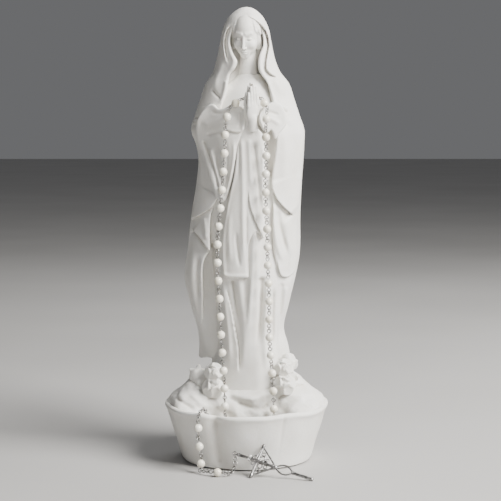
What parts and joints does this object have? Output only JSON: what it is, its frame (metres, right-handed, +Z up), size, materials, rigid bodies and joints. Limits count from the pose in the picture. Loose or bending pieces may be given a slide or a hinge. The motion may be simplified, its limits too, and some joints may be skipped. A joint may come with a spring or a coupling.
{
  "type": "madonna statue with bowl and rosary",
  "caption": "Standing veiled woman at prayer on a rocky mound at the back of a scalloped bowl, with a bead rosary looped over the joined hands.",
  "frame": {"origin": "middle of the felt pad's underside, under the centre of the bowl", "axes": "+Z up, the figure faces -Y, +X to the viewer's right when facing it"},
  "size_m": [0.1113, 0.1242, 0.305],
  "materials": {
    "cast_stone": "matte off-white cast resin stone with a slightly grainy bisque surface",
    "cast_skin": "the same cast, rubbed a little smoother on face and hands",
    "pearl": "cream imitation pearl with a soft pearly sheen",
    "silver_wire": "bright silver-coloured wire, slightly tarnished",
    "silver_cast": "cast silver-coloured metal, darker in the hollows",
    "felt": "thin green felt"
  },
  "bodies": {
    "root": {"felt_pad": "felt", "bowl": "cast_stone", "mound": "cast_stone", "rocks_left": "cast_stone", "rocks_right": "cast_stone", "gown": "cast_stone", "mantle_back": "cast_stone", "mantle_left": "cast_stone", "mantle_right": "cast_stone", "front_panel": "cast_stone", "veil": "cast_stone", "head_and_neck": "cast_skin", "sleeve_left": "cast_stone", "sleeve_right": "cast_stone", "hand_left": "cast_skin", "hand_right": "cast_skin"},
    "rosary": {"decade_1_beads": "pearl", "decade_2_beads": "pearl", "decade_3_beads": "pearl", "decade_4_beads": "pearl", "decade_5_beads": "pearl", "our_father_beads": "pearl", "decade_1_pins": "silver_wire", "decade_2_pins": "silver_wire", "decade_3_pins": "silver_wire", "decade_4_pins": "silver_wire", "decade_5_pins": "silver_wire", "our_father_pins": "silver_wire", "decade_1_rings": "silver_wire", "decade_2_rings": "silver_wire", "decade_3_rings": "silver_wire", "decade_4_rings": "silver_wire", "decade_5_rings": "silver_wire", "centre_medal": "silver_cast", "pendant_pin_1": "silver_wire", "pendant_rings": "silver_wire"},
    "tail": {"tail_pins": "silver_wire", "tail_rings": "silver_wire"},
    "crucifix": {"crucifix_ring": "silver_wire", "crucifix_cross": "silver_cast", "crucifix_corpus": "silver_cast", "crucifix_title": "silver_cast"},
    "bead_1": {"pendant_bead_1": "pearl"},
    "bead_2": {"pendant_bead_2": "pearl"},
    "bead_3": {"pendant_bead_3": "pearl"},
    "bead_4": {"pendant_bead_4": "pearl"},
    "bead_5": {"pendant_bead_5": "pearl"}
  },
  "joints": [
    {"name": "rosary_lift", "type": "slide", "parent": "root", "child": "rosary", "axis": [0, -0.3401, 0.9404], "range_m": [0, 0.25]},
    {"name": "tail_swing", "type": "hinge", "parent": "rosary", "child": "tail", "pos_m": [-0.02865, -0.04569, 0.04141], "axis": [-1, 0, 0], "range_deg": [0, 35]},
    {"name": "crucifix_swing", "type": "hinge", "parent": "tail", "child": "crucifix", "pos_m": [-0.00734, -0.05047, 0.01269], "axis": [0, 0, -1], "range_deg": [0, 30]},
    {"name": "pendant_bead_1_spin", "type": "hinge", "parent": "rosary", "child": "bead_1", "pos_m": [-0.02314, -0.03968, 0.02963], "axis": [-0.3533, -0.143, 0.9245], "continuous": true},
    {"name": "pendant_bead_2_spin", "type": "hinge", "parent": "tail", "child": "bead_2", "pos_m": [-0.0313, -0.05003, 0.03013], "axis": [0.0003, -0.0444, -0.999], "continuous": true},
    {"name": "pendant_bead_3_spin", "type": "hinge", "parent": "tail", "child": "bead_3", "pos_m": [-0.0306, -0.04976, 0.018], "axis": [0.168, 0.154, -0.9737], "continuous": true},
    {"name": "pendant_bead_4_spin", "type": "hinge", "parent": "tail", "child": "bead_4", "pos_m": [-0.02964, -0.04987, 0.00664], "axis": [-0.0823, -0.3084, -0.9477], "continuous": true},
    {"name": "pendant_bead_5_spin", "type": "hinge", "parent": "tail", "child": "bead_5", "pos_m": [-0.01863, -0.05825, 0.00298], "axis": [0.9545, -0.2971, -0.026], "continuous": true}
  ]
}
